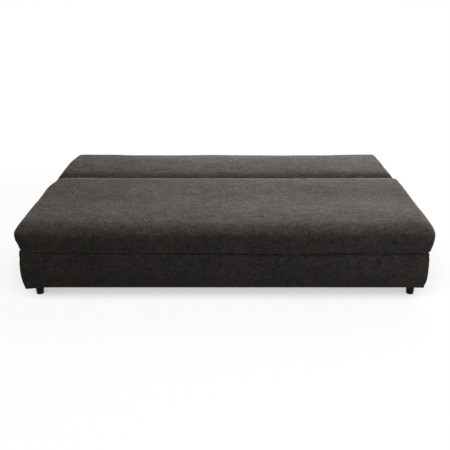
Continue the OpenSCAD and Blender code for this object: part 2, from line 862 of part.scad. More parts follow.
// The hoop's course as a rod of radius r, hanging straight down from its pivot
module hoop_rod(r, top) {
    for (s = [-1, 1]) on_side(s) {
        translate([hoop_x, 0, -hoop_l + bend_r]) cylinder(r = r, h = hoop_l - bend_r - top);
        translate([hoop_x - bend_r, 0, -hoop_l + bend_r]) rotate([90, 0, 0])
            rotate([0, 0, -90]) rotate_extrude(angle = 90, $fn = 64) translate([bend_r, 0]) circle(r = r);
    }
    rod_x(-hoop_x + bend_r, hoop_x - bend_r, 0, -hoop_l, r);
}

// Half the thickness of the flattened eye at each end of the tube, the distance from the
// pivot to the round tube and how far the flat part runs into the tube
eye_half = 6;
eye_down = 10;
eye_in = 16;

module hoop_eyes(half, r) {
    for (s = [-1, 1]) on_side(s) rod_x(hoop_x - half, hoop_x + half, 0, 0, r);
}

module support_hoop() {
    color(black_col) translate([0, hoop_y, hoop_z]) rotate([hoop_lean, 0, 0]) difference() {
        union() {
            difference() {
                hoop_rod(tube_r, eye_down);
                hoop_rod(tube_r - tube_wall, eye_down - 1);
            }
            hoop_eyes(eye_half, tube_r + eye_more);
            for (s = [-1, 1]) on_side(s) block(hoop_x - eye_half, hoop_x + eye_half,
                2 - tube_r, tube_r - 2, -eye_down - eye_in, 0);
        }
        hoop_eyes(2 * tube_r, pin_r + run_gap);
    }
}

hoop_foot_half = 22;
hoop_foot_more = 2.5;
hoop_feet_x = [for (i = [-1, 1]) i * 0.72 * hoop_x];

module hoop_feet() {
    color(black_col) translate([0, hoop_y, hoop_z]) difference() {
        union() {
            rotate([hoop_lean, 0, 0]) for (x = hoop_feet_x)
                rod_x(x - hoop_foot_half, x + hoop_foot_half, 0, -hoop_l, tube_r + hoop_foot_more);
            for (x = hoop_feet_x) translate([x, hoop_l * sin(hoop_lean), -hoop_z])
                block(-hoop_foot_half, hoop_foot_half, -tube_r + 1, tube_r - 1, 0, hoop_low);
        }
        rotate([hoop_lean, 0, 0]) hoop_rod(tube_r + 0.05, eye_down);
    }
}

/* Stay arms at rest, each with its riveted sliding pin */

// An arm along its own X from the pivot. Its pin reaches past the face of the arm by the
// distance reach, on the side that its sign gives, and ends in a head.
module stay_arm(length, reach) {
    difference() {
        union() {
            cylinder(r = stay_r, h = stay_t);
            translate([0, -stay_r, 0]) cube([length, 2 * stay_r, stay_t]);
            translate([length, 0, 0]) cylinder(r = stay_r, h = stay_t);
        }
        translate([0, 0, -1]) cylinder(r = slide_r + run_gap, h = stay_t + 2);
    }
    translate([length, 0, reach < 0 ? reach : 0]) cylinder(r = slide_r, h = abs(reach) + stay_t);
    translate([length, 0, reach < 0 ? reach - head_t : reach + stay_t])
        cylinder(r = slide_r + head_more, h = head_t);
}

module back_stay(s) {
    color(black_col) on_side(s) side_view(arm_x) translate([back_pivot.x, back_pivot.y, 0])
        rotate([0, 0, -90]) stay_arm(back_stay_l, back_stay_x - stay_t / 2 - 1 - arm_x);
}

module lid_stay(s) {
    color(black_col) on_side(s) side_view(lid_arm_x) translate([lid_pivot.x, lid_pivot.y, 0])
        rotate([0, 0, -lid_stay_slope]) stay_arm(lid_stay_l, side_play + stay_t + 1);
}

base_front_board();
base_rear_board();
side_board(-1);  // base_side_board_left
side_board(1);  // base_side_board_right
corner_plates();
cross_rails();
storage_floor();
base_cover_front();
base_cover_side(-1);  // base_cover_left
base_cover_side(1);  // base_cover_right
base_rear_cloth();
leg(-leg_x, leg_ys[0]);  // leg_front_left
leg(leg_x, leg_ys[0]);  // leg_front_right
leg(-leg_x, leg_ys[1]);  // leg_rear_left
leg(leg_x, leg_ys[1]);  // leg_rear_right
legs_centre();
leg_bolts();
hinge_brackets();
hinge_pins();
base_screws();
back_guide(-1);  // back_guide_left
back_guide(1);  // back_guide_right
lid_guide(-1);  // lid_guide_left
lid_guide(1);  // lid_guide_right
seat_rail_front();
seat_rail_rear();
seat_rail_side(-1);  // seat_rail_left
seat_rail_side(1);  // seat_rail_right
seat_slats();
seat_slat_holders();
seat_core();
seat_cover();
seat_hinge_leaves();
seat_screws();
lid_stay_pivots();
back_rail_front();
back_rail_rear();
back_rail_side(-1);  // back_rail_left
back_rail_side(1);  // back_rail_right
back_slats();
back_slat_holders();
back_core();
back_cover();
back_hinge_leaves();
back_cloth();
back_stay_brackets();
hoop_brackets();
back_screws();
support_hoop();
hoop_feet();
back_stay(-1);  // back_stay_left
back_stay(1);  // back_stay_right
lid_stay(-1);  // lid_stay_left
lid_stay(1);  // lid_stay_right
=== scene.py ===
"""Sofa bed laid flat: upholstery, legs, linings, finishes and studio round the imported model."""

import json
import math

import bpy
import numpy as np
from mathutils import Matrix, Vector, noise


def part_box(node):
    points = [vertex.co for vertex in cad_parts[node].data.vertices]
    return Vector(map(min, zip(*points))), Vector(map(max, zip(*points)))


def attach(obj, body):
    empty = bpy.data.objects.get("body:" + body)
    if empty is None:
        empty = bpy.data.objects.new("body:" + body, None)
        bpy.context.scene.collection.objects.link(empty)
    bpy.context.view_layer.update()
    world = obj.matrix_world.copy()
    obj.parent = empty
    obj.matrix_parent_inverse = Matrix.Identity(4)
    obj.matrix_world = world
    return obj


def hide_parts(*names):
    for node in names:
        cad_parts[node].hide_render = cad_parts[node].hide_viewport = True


bl_info = {
    "name": "Sofa bed",
    "version": (1, 0, 0),
    "blender": (4, 5, 0),
    "location": "View3D > Sidebar > Sofa bed",
    "description": "Upholstery, legs, linings and finishes of a sofa bed laid flat",
    "category": "Object",
}

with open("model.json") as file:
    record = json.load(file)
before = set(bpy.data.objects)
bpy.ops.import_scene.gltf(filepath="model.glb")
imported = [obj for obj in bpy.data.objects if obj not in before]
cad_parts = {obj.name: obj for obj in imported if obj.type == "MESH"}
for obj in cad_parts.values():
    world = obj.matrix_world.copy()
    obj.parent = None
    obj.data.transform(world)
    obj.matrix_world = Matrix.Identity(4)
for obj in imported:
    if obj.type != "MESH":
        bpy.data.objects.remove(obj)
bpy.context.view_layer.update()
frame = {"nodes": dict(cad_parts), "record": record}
NODES = frame["nodes"]
MM = 0.001


def linear(code):
    """An sRGB hex colour as linear red, green and blue."""
    parts = [int(code[i : i + 2], 16) / 255 for i in (0, 2, 4)]
    return tuple(c / 12.92 if c <= 0.04045 else ((c + 0.055) / 1.055) ** 2.4 for c in parts)


def length(name, description, mm):
    """A length property in metres with its default given in millimetres."""
    return bpy.props.FloatProperty(name=name, description=description, default=mm * MM, unit="LENGTH")


def colour(name, description, code):
    """A colour property with its default given as sRGB hex."""
    return bpy.props.FloatVectorProperty(
        name=name, description=description, default=linear(code), subtype="COLOR", size=3, min=0, max=1
    )


class SofaBedSizes(bpy.types.PropertyGroup):
    """Sizes of the upholstery and the legs."""

    fullness: length("Fullness", "How far the filled covers stand out past the panels' ends", 5)
    front_reach: length("Front reach", "Reach of the rounding over the seat's front edge", 105)
    rear_reach: length("Rear reach", "Reach of the rounding over the back's rear edge", 56)
    end_reach: length("End reach", "Reach of the rounding over the panels' ends", 33)
    seat_gap_reach: length("Seat gap reach", "Reach of the seat's rounding beside the hinge gap", 52)
    back_gap_reach: length("Back gap reach", "Reach of the back's rounding beside the hinge gap", 118)
    edge_rise: length("Edge rise", "Height of the rounded edges above the widest level", 65)
    roll: length("Roll", "How far the seat's top rolls off before its front edge", 12)
    crown: length("Crown", "Drop of the back's top from its crown to both long edges", 12)
    crown_lift: length("Crown lift", "Height of that crown above the panels' plain top", 5)
    tuck: length("Tuck", "Draw-in of a panel from its widest level to the bottom seam", 31)
    front_tuck: length("Front tuck", "Draw-in of the seat's front above the bottom seam", 9)
    belly: length("Belly", "Rise of the widest line at the seat's front and the panels' ends", 8)
    hump: length("Hump", "Rise of the seat's top beside the hinge gap", 14)
    gap_drop: length("Gap drop", "Drop of the back's top beside the hinge gap", 9)
    right_fullness: length("Right fullness", "How much fuller the right ends of the panels are", 6)
    right_dent: length("Right dent", "Draw-in of the seat's right end beside its front corner", 9)
    left_dent: length("Left dent", "Draw-in of the seat's left end under its widest line", 6)
    left_draw: length("Left draw", "Draw-in of the seat's left end beside the hinge gap", 22)
    left_rear_draw: length("Left rear draw", "Draw-in of the back's left end at its rear", 12)
    gap_spread: length("Gap spread", "Reach of the back's ends beside the hinge gap", 9)
    broad_wave: length("Broad wave", "Height of the broad waves in the covers", 2.2)
    middle_wave: length("Middle wave", "Height of the narrower waves in the covers", 1.3)
    crest_wave: length("Crest wave", "Height of the waves along the panels' rounded edges", 3)
    pucker: length("Pucker", "Height of the puckers along the seams", 1.6)
    rim_roll: length("Rim roll", "Radius of the rolled edges on both sides of the bottom seam", 6)
    bow: length("Bow", "Outward bow of the panels' long edges", 4)
    corner: length("Corner radius", "Plan radius of the seat's front corners", 60)
    rear_corner: length("Rear corner radius", "Plan radius of the back's rear corners", 14)
    seat_gap_corner: length("Seat gap corner", "Plan radius of the seat's corners beside the hinge gap", 40)
    back_gap_corner: length("Back gap corner", "Plan radius of the back's corners beside the hinge gap", 14)
    seam_corner: length("Seam corner radius", "Plan radius of the panels' corners at the bottom seam", 22)
    cover: length("Cover thickness", "Thickness of cover and wadding together", 12)
    cell: length("Cell", "Edge length of a mesh cell of the covers before they are refined", 14.6)
    padding_full: length("Padding", "Fullest thickness of the box padding", 26)
    padding_foot: length("Foot padding", "Thickness of the box padding at its foot", 3)
    padding_seam: length("Seam padding", "Thickness of the box padding under the seam", 18)
    pull_left: length("Left corner pull", "Thinning of the box padding at its left corner", 8)
    pull_right: length("Right corner pull", "Thinning of the box padding at its right corner", 14)
    pull_foot: length("Right foot pull", "Further thinning at the foot of that corner", 6)
    crease: length("Crease", "Thinning of the front padding right under the seam", 5)
    sag_left: length("Left sag", "Drop of the padding's foot at the left corner", 10)
    sag_right: length("Right sag", "Drop of the padding's foot at the right corner", 4)
    hem_lift: length("Hem lift", "Rise of the padding's foot all along", 2.5)
    hem_bow: length("Hem bow", "Further rise of the foot at the middle", 1.5)
    box_swell: length("Box swell", "Height of the broad waves in the box padding", 1.8)
    box_ripple: length("Box ripple", "Height of the narrower waves in the box padding", 0.9)
    box_pucker: length("Box pucker", "Height of the puckers along the box's seam and foot", 1.5)
    leg_radius: length("Leg radius", "Radius of the legs at their collar", 23)
    leg_shift: length("Leg shift", "How far the corner legs stand out from their middles", 7)


class SofaBedColours(bpy.types.PropertyGroup):
    """Base colours of the finishes."""

    nap_light: colour("Nap, lit", "Cover where its nap lies towards the light", "70675f")
    nap_dark: colour("Nap, shaded", "Cover where its nap lies away from the light", "1c1917")
    sheen: colour("Sheen", "Tips of the cover's nap, seen along the cloth", "c8bdb5")
    lining: colour("Lining", "Spunbond lining below the back panel", "1d1d1e")
    foam: colour("Foam", "Felted underside of the foam", "cfc8b4")
    beech: colour("Beech", "Rails and bent slats", "c9a06b")
    board: colour("Chipboard", "Boards of the bedding box", "b89a6c")
    hardboard: colour("Hardboard", "Floor of the bedding box", "6f4d30")
    plastic: colour("Black plastic", "Legs, feet and slat holders", "121718")
    powder: colour("Powder coat", "Hinges and rear hoop", "17181a")
    zinc: colour("Zinc", "Stays, guide plates and screws", "b4b8bd")


def configure(owner, settings):
    """Sets attributes by name."""
    for key, value in settings.items():
        setattr(owner, key, value)


# Materials


def put(tree, node, inputs):
    """Fills a node's inputs, each by name or number: a socket is linked, anything else is set."""
    for key, value in inputs.items():
        if isinstance(value, bpy.types.NodeSocket):
            tree.links.new(value, node.inputs[key])
        elif node.inputs[key].type == "RGBA":
            node.inputs[key].default_value = (*value[:3], 1)
        else:
            node.inputs[key].default_value = value


def add(tree, kind, inputs=None, out=0, **settings):
    """Adds a shader node with its settings and inputs, and returns one of its outputs, or the node
    itself where it has none."""
    made = tree.nodes.new(kind)
    configure(made, settings)
    put(tree, made, inputs or {})
    return made.outputs[out] if made.outputs else made


def new_material(name):
    """A material with its tree, its Principled shader and its Object coordinates in metres."""
    made = bpy.data.materials.new(name)
    made.use_nodes = True
    tree = made.node_tree
    tree.nodes.clear()
    surface = add(tree, "ShaderNodeBsdfPrincipled")
    add(tree, "ShaderNodeOutputMaterial", {"Surface": surface})
    return made, tree, surface.node, add(tree, "ShaderNodeTexCoord", out="Object")


def speckle(tree, where, mm, stretch=(1, 1, 1), detail=2.0, roughness=0.5, low=0.3, high=0.7):
    """Noise with features of mm millimetres, drawn out by stretch and spread over 0 to 1."""
    placed = add(tree, "ShaderNodeMapping", {"Vector": where, "Scale": [1 / s for s in stretch]})
    noisy = {"Vector": placed, "Scale": 1 / (mm * MM), "Detail": detail, "Roughness": roughness}
    value = add(tree, "ShaderNodeTexNoise", noisy)
    return add(tree, "ShaderNodeMapRange", {"Value": value, "From Min": low, "From Max": high})


def laid_over(tree, base, mask, share, tint):
    """A tint laid over a base colour through a mask, at most at that share."""
    factor = add(tree, "ShaderNodeMath", {0: mask, 1: share}, operation="MULTIPLY")
    return add(tree, "ShaderNodeMix", {0: factor, 6: base, 7: tint}, out=2, data_type="RGBA")


def relief(tree, shader, *layers):
    """Lays bumps over one another, each given as its height, its millimetres and its strength."""
    under = None
    for height, mm, strength in layers:
        inputs = {"Height": height, "Distance": mm * MM, "Strength": strength}
        if under:
            inputs["Normal"] = under
        under = add(tree, "ShaderNodeBump", inputs)
    put(tree, shader, {"Normal": under})


def scaled(rgb, by):
    """A colour made lighter or darker."""
    return tuple(min(1, c * by) for c in rgb)


def microfibre(colours):
    """Brushed polyester microfibre: matt, cloudy where hands have laid its nap this way and that,
    flecked where the nap stands in tufts, with a soft sheen at grazing angles."""
    made, tree, shader, where = new_material("brushed_microfibre")
    cloud = speckle(tree, where, 150, stretch=(1.5, 1, 1), detail=3, low=0.34, high=0.66)
    patch = speckle(tree, where, 34, stretch=(1.4, 1.4, 1), detail=3, low=0.34, high=0.66)
    mottle = speckle(tree, where, 10, stretch=(1.7, 2.2, 1), roughness=0.6, low=0.34, high=0.66)
    fleck = speckle(tree, where, 4.6, stretch=(1.2, 2.4, 1), detail=1, low=0.4, high=0.6)
    pile = speckle(tree, where, 1.1, stretch=(1.4, 1, 1), roughness=0.7)
    nap = 0.0
    for mask, share in ((cloud, 0.14), (patch, 0.17), (mottle, 0.3), (fleck, 0.34), (pile, 0.05)):
        nap = add(tree, "ShaderNodeMath", {0: mask, 1: share, 2: nap}, operation="MULTIPLY_ADD")
    put(tree, shader, {
        "Base Color": laid_over(tree, colours.nap_dark, nap, 1, colours.nap_light), "Roughness": 0.95,
        "Specular IOR Level": 0.2, "Sheen Weight": 1.0, "Sheen Roughness": 0.25,
        "Sheen Tint": laid_over(tree, scaled(colours.sheen, 0.15), nap, 1, scaled(colours.sheen, 1.7)),
    })
    relief(tree, shader, (patch, 1.2, 0.6), (mottle, 1.2, 0.7), (fleck, 0.7, 0.7), (pile, 0.2, 0.7))
    return made


def spunbond(colours):
    """Black spunbond polypropylene lining, pressed in a grid of small dots that dull its shine."""
    made, tree, shader, where = new_material("spunbond_lining")
    fibres = speckle(tree, where, 2.5, stretch=(2, 1, 1), detail=4, roughness=0.7)
    dots = add(tree, "ShaderNodeTexVoronoi", {"Vector": where, "Scale": 1 / (2 * MM), "Randomness": 0.15})
    body = laid_over(tree, scaled(colours.lining, 0.7), fibres, 1, scaled(colours.lining, 1.6))
    put(tree, shader, {"Base Color": body, "Roughness": 0.7, "Sheen Weight": 0.1})
    relief(tree, shader, (dots, 0.3, 0.7), (fibres, 0.2, 0.6))
    return made


def foam_felt(colours):
    """Cold foam faced with a thin needle felt, off-white and slightly fluffy."""
    made, tree, shader, where = new_material("felted_foam")
    fluff = speckle(tree, where, 3, detail=4, roughness=0.7)
    shade = speckle(tree, where, 60)
    body = laid_over(tree, scaled(colours.foam, 0.82), fluff, 1, colours.foam)
    body = laid_over(tree, body, shade, 0.3, scaled(colours.foam, 0.85))
    put(tree, shader, {"Base Color": body, "Roughness": 0.95})
    relief(tree, shader, (fluff, 0.8, 0.7))
    return made


def wood(name, rgb, along, grain_mm=4.0, plies=False):
    """Beech planed and left pale: grain lines along one axis, with short dark rays. Bent slats also
    show their plies on the edges."""
    made, tree, shader, where = new_material(name)
    stretch = [1, 1, 1]
    stretch["XYZ".index(along)] = 26
    grain = speckle(tree, where, grain_mm, stretch=stretch, detail=4, roughness=0.6)
    rays = speckle(tree, where, 1.2, stretch=[s**0.45 for s in stretch], detail=1, low=0.62, high=0.75)
    broad = speckle(tree, where, 45, stretch=[s**0.6 for s in stretch])
    body = laid_over(tree, scaled(rgb, 0.8), grain, 1, scaled(rgb, 1.08))
    body = laid_over(tree, body, broad, 0.35, scaled(rgb, 0.78))
    body = laid_over(tree, body, rays, 0.35, scaled(rgb, 0.5))
    if plies:
        height = add(tree, "ShaderNodeSeparateXYZ", {0: where}, out="Z")
        layer = add(tree, "ShaderNodeMath", {0: height, 1: 1.6 * MM}, operation="FLOORED_MODULO")
        line = add(tree, "ShaderNodeMath", {0: layer, 1: 0.35 * MM}, operation="LESS_THAN")
        body = laid_over(tree, body, line, 0.18, scaled(rgb, 0.45))
    put(tree, shader, {"Base Color": body, "Roughness": 0.55, "Coat Weight": 0.12, "Coat Roughness": 0.4})
    relief(tree, shader, (grain, 0.15, 0.6))
    return made


def chipboard(colours):
    """Bare chipboard: pressed flakes of pale and dark wood of about 4 mm, sanded flat."""
    made, tree, shader, where = new_material("sanded_chipboard")
    flakes = add(tree, "ShaderNodeTexVoronoi", {"Vector": where, "Scale": 1 / (4 * MM)}, out="Color")
    tone = add(tree, "ShaderNodeSeparateColor", {0: flakes})
    dust = speckle(tree, where, 1.5)
    body = laid_over(tree, scaled(colours.board, 0.72), tone, 1, scaled(colours.board, 1.18))
    body = laid_over(tree, body, dust, 0.4, scaled(colours.board, 0.85))
    put(tree, shader, {"Base Color": body, "Roughness": 0.8})
    relief(tree, shader, (tone, 0.12, 0.5))
    return made


def hardboard(colours):
    """Brown hardboard, smooth side up, with fine matted fibres and scuffs from bedding."""
    made, tree, shader, where = new_material("smooth_hardboard")
    fibres = speckle(tree, where, 3, stretch=(2, 1, 1), detail=4, roughness=0.65)
    scuffs = speckle(tree, where, 90, stretch=(2, 1, 1), detail=4, low=0.45, high=0.75)
    body = laid_over(tree, scaled(colours.hardboard, 0.78), fibres, 1, scaled(colours.hardboard, 1.2))
    body = laid_over(tree, body, scuffs, 0.25, scaled(colours.hardboard, 1.5))
    put(tree, shader, {"Base Color": body, "Roughness": 0.5})
    relief(tree, shader, (fibres, 0.06, 0.5))
    return made


def moulded_plastic(colours):
    """Injection moulded black ABS with a fine spark-eroded grain, rubbed a little here and there."""
    made, tree, shader, where = new_material("moulded_black_abs")
    grain = speckle(tree, where, 0.8)
    rub = speckle(tree, where, 14, detail=4, low=0.5, high=0.8)
    body = laid_over(tree, colours.plastic, rub, 0.3, scaled(colours.plastic, 2.2))
    rough = add(tree, "ShaderNodeMapRange", {"Value": rub, "To Min": 0.38, "To Max": 0.55})
    put(tree, shader, {"Base Color": body, "Roughness": rough, "Specular IOR Level": 0.12})
    relief(tree, shader, (grain, 0.05, 0.5))
    return made


def powder_coat(colours):
    """Steel with a black polyester powder coat, satin, with a slight orange peel."""
    made, tree, shader, where = new_material("black_powder_coat")
    peel = speckle(tree, where, 1.6, detail=1)
    dull = speckle(tree, where, 30, detail=3)
    body = laid_over(tree, colours.powder, dull, 0.4, scaled(colours.powder, 1.6))
    rough = add(tree, "ShaderNodeMapRange", {"Value": dull, "To Min": 0.36, "To Max": 0.48})
    put(tree, shader, {"Base Color": body, "Roughness": rough})
    relief(tree, shader, (peel, 0.05, 0.5))
    return made


def zinc_plate(colours):
    """Bright zinc-plated steel, brushed by handling, with faint cloudy passivation."""
    made, tree, shader, where = new_material("zinc_plated_steel")
    brushed = speckle(tree, where, 0.7, stretch=(1, 12, 1))
    cloud = speckle(tree, where, 12, detail=3)
    body = laid_over(tree, scaled(colours.zinc, 0.78), cloud, 1, colours.zinc)
    rough = add(tree, "ShaderNodeMapRange", {"Value": cloud, "To Min": 0.28, "To Max": 0.44})
    put(tree, shader, {"Base Color": body, "Metallic": 1.0, "Roughness": rough})
    relief(tree, shader, (brushed, 0.02, 0.4))
    return made


# Mesh work


def activate(piece):
    """Makes a piece the active one."""
    bpy.context.view_layer.objects.active = piece


def begin(kind, name, **placing):
    """Adds a primitive with nothing else selected, applies its place and names it."""
    bpy.ops.object.select_all(action="DESELECT")
    getattr(bpy.ops.mesh, f"primitive_{kind}_add")(**placing)
    piece = bpy.context.object
    bpy.ops.object.transform_apply(location=True, rotation=True, scale=True)
    piece.name = piece.data.name = name
    return piece


def vectors(items, key):
    """A vector of every item as an array."""
    flat = np.empty(len(items) * 3, np.float32)
    items.foreach_get(key, flat)
    return flat.reshape(-1, 3).astype(float)


def points_of(piece):
    """The mesh's points as an array."""
    return vectors(piece.data.vertices, "co")


def normals_of(piece):
    """The mesh's point normals as an array."""
    return vectors(piece.data.vertex_normals, "vector")


def put_points(piece, points):
    """Writes an array of points back to the mesh."""
    piece.data.vertices.foreach_set("co", np.asarray(points, np.float32).ravel())
    piece.data.update()


def apply_modifier(piece, kind, **settings):
    """Adds a modifier with its settings and applies it."""
    made = piece.modifiers.new(kind.lower(), kind)
    configure(made, settings)
    activate(piece)
    bpy.ops.object.modifier_apply(modifier=made.name)


def weld(threshold):
    """Merges all points of the mesh in edit mode that lie closer than the threshold."""
    bpy.ops.mesh.select_all(action="SELECT")
    bpy.ops.mesh.remove_doubles(threshold=threshold)


def select_rim():
    """Selects the free edges of the mesh in edit mode."""
    bpy.ops.mesh.select_mode(type="EDGE")
    bpy.ops.mesh.select_all(action="DESELECT")
    bpy.ops.mesh.select_non_manifold()


def refine(piece):
    """One level of subdivision, then smooth shading."""
    apply_modifier(piece, "SUBSURF", levels=1, render_levels=1)
    smooth(piece)


def smooth(piece, angle=None):
    """Smooth shading, with edges sharper than the angle kept where one is given."""
    bpy.ops.object.select_all(action="DESELECT")
    piece.select_set(True)
    activate(piece)
    if angle is None:
        bpy.ops.object.shade_smooth()
    else:
        bpy.ops.object.shade_smooth_by_angle(angle=math.radians(angle))


def ripple(points, mm, seed, stretch=(1, 1, 1)):
    """Smooth noise from -1 to 1 at the points, with features of mm millimetres."""
    scale = np.array([1 / (mm * MM * s) for s in stretch])
    shift = np.array([seed * 3.7, seed * 1.9, seed * 5.3])
    return np.array([noise.noise(Vector(p)) for p in points * scale + shift])


def ease(x):
    """Smooth step from 0 to 1."""
    x = np.clip(x, 0, 1)
    return x * x * (3 - 2 * x)


def bell(x):
    """Smooth bump of height 1 round 0."""
    return np.exp(-(x**2))


# Place across the front in metres and the seam's rise there in millimetres
SEAM_RISE = np.array([(-0.96, 23), (-0.85, 18), (-0.68, 12), (-0.36, 11), (0, 5), (0.13, 1), (0.27, -1),
                      (0.4, -0.5), (0.52, 2), (0.64, 4), (0.92, 6)]).T


def seam_rise(x, y):
    """How far the crease between seat panel and box stands above the boards' top along the front:
    most at the left corner, least right of the middle, and nothing further back on the ends."""
    return (1 - ease((y + 0.70) / 0.3)) * np.interp(x, *SEAM_RISE) * MM


def side_point(t, half, radius):
    """Position along and distance back from a side of a rounded rectangle, at the share t of the
    side from -1 to 1. The side includes half of each corner."""
    straight = half - radius
    reach = t * (straight + radius * math.pi / 4)
    over = np.clip((np.abs(reach) - straight) / radius, 0, None)
    along = np.where(over > 0, np.sign(reach) * (straight + radius * np.sin(over)), reach)
    return along, radius * (1 - np.cos(over))


LEAST_CORNER = 6 * MM  # plan radius that the innermost rings keep


class Pad:
    """A padded panel's names and levels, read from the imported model, and the sizes of its roundings."""

    def __init__(self, body, toward, s):
        self.body, self.cover, self.core, self.s = body, f"{body}_cover", f"{body}_core", s
        low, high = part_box(self.cover)
        self.toward = toward  # 1 where the hinge gap lies behind the panel, -1 where it lies in front
        self.free_y, self.gap_y = (low.y, high.y) if toward > 0 else (high.y, low.y)
        self.depth, self.half_w = high.y - low.y, high.x + s.fullness
        self.seam_z, self.top_z = low.z, high.z
        self.rail_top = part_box(f"{body}_rail_rear")[1].z
        self.wide_z = self.top_z - s.edge_rise
        seat = body == "seat"
        self.free_reach = s.front_reach if seat else s.rear_reach
        self.gap_reach = s.seat_gap_reach if seat else s.back_gap_reach
        self.free_tuck = s.front_tuck if seat else s.tuck
        self.free_corner = s.corner if seat else s.rear_corner
        self.gap_corner = s.seat_gap_corner if seat else s.back_gap_corner

    def stations(self, z0, inset, low, edge, middle):
        """Rows from the bottom over the rounding to the middle of the top: height, then how far the
        free edge, the hinge edge and the ends lie in, then the corner radii at both edges."""
        s, rows = self.s, []
        for i in range(low):  # closer together at the seam, where the first tenth rolls in
            t = 1 - (i / low) ** 1.35
            roll, corner = 1 - math.sqrt(1 - max(0, 1 - (1 - t) * 10) ** 2), s.seam_corner * t
            tuck, free = (k * t**1.5 + (s.tuck + s.rim_roll - k) * roll for k in (s.tuck, self.free_tuck))
            rows.append([self.wide_z - t * (self.wide_z - z0), free, 0, tuck,
                         self.free_corner * (1 - t) + corner, self.gap_corner * (1 - t) + corner])
        for i in range(edge + 1):
            rise, back = math.sin(math.pi / 2 * i / edge), 1 - math.cos(math.pi / 2 * i / edge)
            rows.append([self.wide_z + (s.edge_rise - inset) * rise, (self.free_reach - inset) * back,
                         (self.gap_reach - inset) * back, (s.end_reach - inset) * back,
                         self.free_corner, self.gap_corner])
        reach = (self.depth - self.free_reach - self.gap_reach) / 2
        for i in range(1, middle + 1):
            step = reach * i / middle
            reaches = (self.free_reach, self.gap_reach, s.end_reach)
            rows.append([self.top_z - inset, *(r - inset + step for r in reaches),
                         *(max(r - step / 2, LEAST_CORNER) for r in (self.free_corner, self.gap_corner))])
        return np.array(rows)


def pulled_grid(name, nx, ny, side, closed):
    """A grid whose rim is pulled down by some rows. Closed, it has a bottom of the same cells."""
    piece = begin("grid", name, x_subdivisions=nx, y_subdivisions=ny, size=1)
    bpy.ops.object.mode_set(mode="EDIT")
    select_rim()
    for _ in range(side):
        bpy.ops.mesh.extrude_edges_move(TRANSFORM_OT_translate={"value": (0, 0, -1)})
    bpy.ops.object.mode_set(mode="OBJECT")
    if closed:
        bottom = begin("grid", name + "_bottom", x_subdivisions=nx, y_subdivisions=ny, size=1)
        put_points(bottom, points_of(bottom) - [0, 0, side])
        bottom.data.flip_normals()
        piece.select_set(True)
        activate(piece)
        bpy.ops.object.join()
        bpy.ops.object.mode_set(mode="EDIT")
        weld(1e-4)
        bpy.ops.object.mode_set(mode="OBJECT")
    return piece


def pad_shell(name, pad, cell, inset=0.0, closed=False):
    """The skin of a padded panel, from the rim of its bottom over the rounded edges to its middle:
    a pulled grid wrapped on the panel's rings."""
    s = pad.s
    ny, nx = 2 * round(pad.depth / cell / 2), 2 * round(pad.half_w / cell)
    low, edge = max(3, round(s.edge_rise * 1.3 / cell)), max(4, 2 * round(s.edge_rise * 0.8 / cell))
    side = low + edge // 2
    rows = pad.stations(pad.rail_top if closed else pad.seam_z, inset, low, edge, ny // 2 - edge // 2)
    piece = pulled_grid(name, nx, ny, side, closed)
    raw = points_of(piece)
    i, j, level = np.round((raw[:, 0] + 0.5) * nx), np.round((raw[:, 1] + 0.5) * ny), np.round(raw[:, 2])
    from_x, from_y = np.minimum(i, nx - i), np.minimum(j, ny - j)
    ring = np.minimum(from_x, from_y)
    z, free, gap, end, r_free, r_gap = rows[np.where(level < 0, side + level, side + ring).astype(int)].T
    if closed:
        under = level == -side
        step = (pad.depth - rows[0][1] - 2 * inset) / 2 * ring / (ny / 2)
        inner = ((rows[0][1], free), (0, gap), (rows[0][3], end))
        free, gap, end = (np.where(under, least + step, v) for least, v in inner)
        radii = (r_free, r_gap)
        r_free, r_gap = (np.where(under, np.maximum(r - step / 2, LEAST_CORNER), r) for r in radii)
    y_free = pad.free_y + pad.toward * (inset + free)
    y_gap = pad.gap_y - pad.toward * (inset + gap)
    middle, half_y = (y_free + y_gap) / 2, np.maximum(np.abs(y_gap - y_free) / 2, 1e-5)
    half_x = pad.half_w - inset - end
    tx = (i - nx / 2) / (nx / 2 - ring)
    ty = (j - ny / 2) / np.maximum(ny / 2 - ring, 0.5)
    radius = np.where(ty * pad.toward > 0, r_gap, r_free)
    radius = np.minimum(np.maximum(radius - inset, 3 * MM), half_y * 0.98)
    along_y, back_x = side_point(ty, half_y, radius)
    along_x, back_y = side_point(tx, half_x, radius)
    on_end = from_x < from_y
    x = np.where(on_end, np.sign(i - nx / 2) * (half_x - back_x), along_x)
    y = middle + np.where(on_end, along_y, np.sign(j - ny / 2) * (half_y - back_y))
    put_points(piece, np.stack(settled(x, y, z, pad, closed), axis=1))
    return piece


